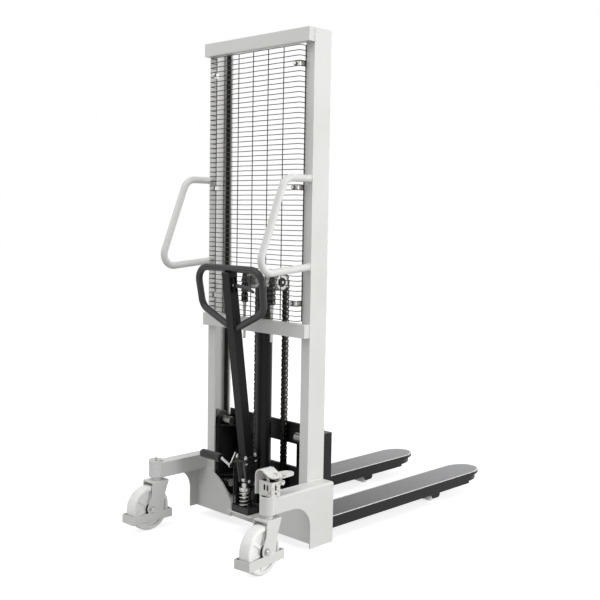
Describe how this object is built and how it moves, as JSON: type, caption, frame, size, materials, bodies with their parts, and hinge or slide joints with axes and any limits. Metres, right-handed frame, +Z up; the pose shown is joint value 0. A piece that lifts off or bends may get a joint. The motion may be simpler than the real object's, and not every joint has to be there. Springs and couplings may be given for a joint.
{
  "type": "hand pallet stacker",
  "caption": "Hand-pumped pallet stacker with a two-channel mast, mesh guard, chain-lifted forks, tiller pump, castors and load rollers.",
  "frame": {"origin": "on the floor, under the middle of the box round the truck", "axes": "+Z up, +Y towards the fork tips, +X to the right of an operator who faces the mast"},
  "size_m": [0.7626, 1.6403, 1.98],
  "materials": {
    "light_paint": "satin powder coat, light warm grey",
    "black_paint": "satin black enamel",
    "guard_wire": "black coated welded wire",
    "zinc": "zinc plated",
    "cast_metal": "painted casting",
    "bearing_steel": "ground steel",
    "chain_steel": "oiled dark steel",
    "chrome": "hard chrome",
    "nylon": "white cast nylon",
    "rubber": "knurled moulded rubber",
    "lever_plastic": "moulded black plastic"
  },
  "bodies": {
    "chassis": {"mast_upright_left": "light_paint", "mast_upright_right": "light_paint", "top_beam": "light_paint", "mid_beam": "light_paint", "mesh_guard": "guard_wire", "mesh_clips": "zinc", "grab_handle_left": "light_paint", "grab_handle_right": "light_paint", "side_frame_left": "light_paint", "side_frame_right": "light_paint", "gussets": "light_paint", "base_plate": "light_paint", "straddle_leg_left": "black_paint", "straddle_leg_right": "black_paint", "castor_housing_left": "light_paint", "castor_housing_right": "light_paint", "swivel_bearings": "bearing_steel", "housing_cap": "zinc", "brake_bracket": "cast_metal", "lift_cylinder": "black_paint", "pump_body": "black_paint", "pressure_pipe": "zinc", "pivot_pins": "zinc", "chain_anchors": "zinc", "chain_fixed_runs": "chain_steel", "pump_spring": "zinc"},
    "carriage": {"carriage_frame": "black_paint", "fork_left": "black_paint", "fork_right": "black_paint", "carriage_axles": "zinc"},
    "roller_upper_left": {"roller_upper_left": "bearing_steel"},
    "roller_upper_right": {"roller_upper_right": "bearing_steel"},
    "roller_lower_left": {"roller_lower_left": "bearing_steel"},
    "roller_lower_right": {"roller_lower_right": "bearing_steel"},
    "ram": {"piston_rod": "chrome", "crosshead": "cast_metal", "chain_over_pulleys": "chain_steel", "chain_carriage_runs": "chain_steel"},
    "pulley_left": {"pulley_left": "bearing_steel"},
    "pulley_right": {"pulley_right": "bearing_steel"},
    "load_roller_left": {"load_roller_left": "nylon"},
    "load_roller_right": {"load_roller_right": "nylon"},
    "castor_left": {"castor_fork_left": "light_paint", "castor_axle_left": "zinc"},
    "castor_right": {"castor_fork_right": "light_paint", "castor_axle_right": "zinc"},
    "castor_wheel_left": {"castor_wheel_left": "nylon"},
    "castor_wheel_right": {"castor_wheel_right": "nylon"},
    "tiller": {"handle_base": "black_paint", "handle_bolts": "zinc", "tiller_tube": "black_paint", "tiller_loop": "black_paint"},
    "finger_lever": {"finger_lever": "lever_plastic"},
    "tiller_roller": {"tiller_roller": "zinc"},
    "plunger": {"pump_plunger": "zinc"},
    "pedal": {"pedal_arm": "zinc", "pedal_grip": "rubber"},
    "release_rod": {"release_rod": "zinc"},
    "brake_pedal": {"brake_pedal": "cast_metal"},
    "brake_rod": {"brake_rod": "zinc"}
  },
  "joints": [
    {"name": "lift", "type": "slide", "parent": "chassis", "child": "carriage", "axis": [0, 0, 1], "range_m": [0, 1.5], "deforming": ["chain_carriage_runs"]},
    {"name": "ram", "type": "slide", "parent": "chassis", "child": "ram", "axis": [0, 0, 1], "range_m": [0, 0.75], "deforming": ["chain_fixed_runs"]},
    {"name": "pulley_left_turn", "type": "hinge", "parent": "ram", "child": "pulley_left", "pos_m": [-0.08, -0.3895, 1.027], "axis": [1, 0, 0], "range_deg": [0, 1140]},
    {"name": "pulley_right_turn", "type": "hinge", "parent": "ram", "child": "pulley_right", "pos_m": [0.08, -0.3895, 1.027], "axis": [1, 0, 0], "range_deg": [0, 1140]},
    {"name": "roller_upper_left_turn", "type": "hinge", "parent": "carriage", "child": "roller_upper_left", "pos_m": [-0.272, -0.3905, 0.425], "axis": [-1, 0, 0], "range_deg": [0, 2350]},
    {"name": "roller_upper_right_turn", "type": "hinge", "parent": "carriage", "child": "roller_upper_right", "pos_m": [0.272, -0.3905, 0.425], "axis": [-1, 0, 0], "range_deg": [0, 2350]},
    {"name": "roller_lower_left_turn", "type": "hinge", "parent": "carriage", "child": "roller_lower_left", "pos_m": [-0.272, -0.3905, 0.16], "axis": [1, 0, 0], "range_deg": [0, 2350]},
    {"name": "roller_lower_right_turn", "type": "hinge", "parent": "carriage", "child": "roller_lower_right", "pos_m": [0.272, -0.3905, 0.16], "axis": [1, 0, 0], "range_deg": [0, 2350]},
    {"name": "load_roller_left_turn", "type": "hinge", "parent": "chassis", "child": "load_roller_left", "pos_m": [-0.201, 0.4615, 0.039], "axis": [1, 0, 0], "continuous": true},
    {"name": "load_roller_right_turn", "type": "hinge", "parent": "chassis", "child": "load_roller_right", "pos_m": [0.201, 0.4615, 0.039], "axis": [1, 0, 0], "continuous": true},
    {"name": "castor_left_swivel", "type": "hinge", "parent": "chassis", "child": "castor_left", "pos_m": [-0.334, -0.6775, 0.24], "axis": [0, 0, 1], "continuous": true},
    {"name": "castor_left_roll", "type": "hinge", "parent": "castor_left", "child": "castor_wheel_left", "pos_m": [-0.334, -0.7205, 0.09], "axis": [1, 0, 0], "continuous": true},
    {"name": "castor_right_swivel", "type": "hinge", "parent": "chassis", "child": "castor_right", "pos_m": [0.334, -0.6775, 0.24], "axis": [0, 0, 1], "continuous": true},
    {"name": "castor_right_roll", "type": "hinge", "parent": "castor_right", "child": "castor_wheel_right", "pos_m": [0.33946, -0.72015, 0.09], "axis": [0.9919, 0.1271, 0], "continuous": true},
    {"name": "tiller_pump", "type": "hinge", "parent": "chassis", "child": "tiller", "pos_m": [0, -0.4535, 0.215], "axis": [1, 0, 0], "range_deg": [0, 45], "stiffness_Nm_per_rad": 20, "springref_deg": -20.05},
    {"name": "plunger_stroke", "type": "slide", "parent": "chassis", "child": "plunger", "axis": [0, 0, -1], "range_m": [0, 0.0286], "deforming": ["pump_spring"]},
    {"name": "tiller_roller_turn", "type": "hinge", "parent": "tiller", "child": "tiller_roller", "pos_m": [0, -0.4875, 0.229], "axis": [1, 0, 0], "continuous": true},
    {"name": "finger_lever_pull", "type": "hinge", "parent": "tiller", "child": "finger_lever", "pos_m": [0.027, -0.57656, 1.01973], "axis": [0, -0.9906, -0.1366], "range_deg": [0, 18], "stiffness_Nm_per_rad": 0.6, "springref_deg": -17.19},
    {"name": "lowering_pedal", "type": "hinge", "parent": "chassis", "child": "pedal", "pos_m": [-0.049, -0.4885, 0.288], "axis": [1, 0, 0], "range_deg": [0, 20], "stiffness_Nm_per_rad": 2.5, "springref_deg": -17.19},
    {"name": "release_stroke", "type": "slide", "parent": "chassis", "child": "release_rod", "axis": [0, 0, -1], "range_m": [0, 0.0065]},
    {"name": "brake_pedal_press", "type": "hinge", "parent": "chassis", "child": "brake_pedal", "pos_m": [0.334, -0.6345, 0.326], "axis": [1, 0, 0], "range_deg": [0, 6.5]},
    {"name": "brake_stroke", "type": "slide", "parent": "chassis", "child": "brake_rod", "axis": [0, 0, -1], "range_m": [0, 0.0054]}
  ],
  "couplings": [
    {"joint": "ram", "follows": "lift", "ratio": 0.5},
    {"joint": "pulley_left_turn", "follows": "lift", "rad_per_m": 13.158},
    {"joint": "roller_upper_left_turn", "follows": "lift", "rad_per_m": 27.248},
    {"joint": "roller_lower_left_turn", "follows": "lift", "rad_per_m": 27.248},
    {"joint": "pulley_right_turn", "follows": "lift", "rad_per_m": 13.158},
    {"joint": "roller_upper_right_turn", "follows": "lift", "rad_per_m": 27.248},
    {"joint": "roller_lower_right_turn", "follows": "lift", "rad_per_m": 27.248},
    {"joint": "plunger_stroke", "follows": "tiller_pump", "m_per_rad": 0.036},
    {"joint": "release_stroke", "follows": "lowering_pedal", "m_per_rad": 0.0178},
    {"joint": "brake_stroke", "follows": "brake_pedal_press", "m_per_rad": 0.047}
  ]
}
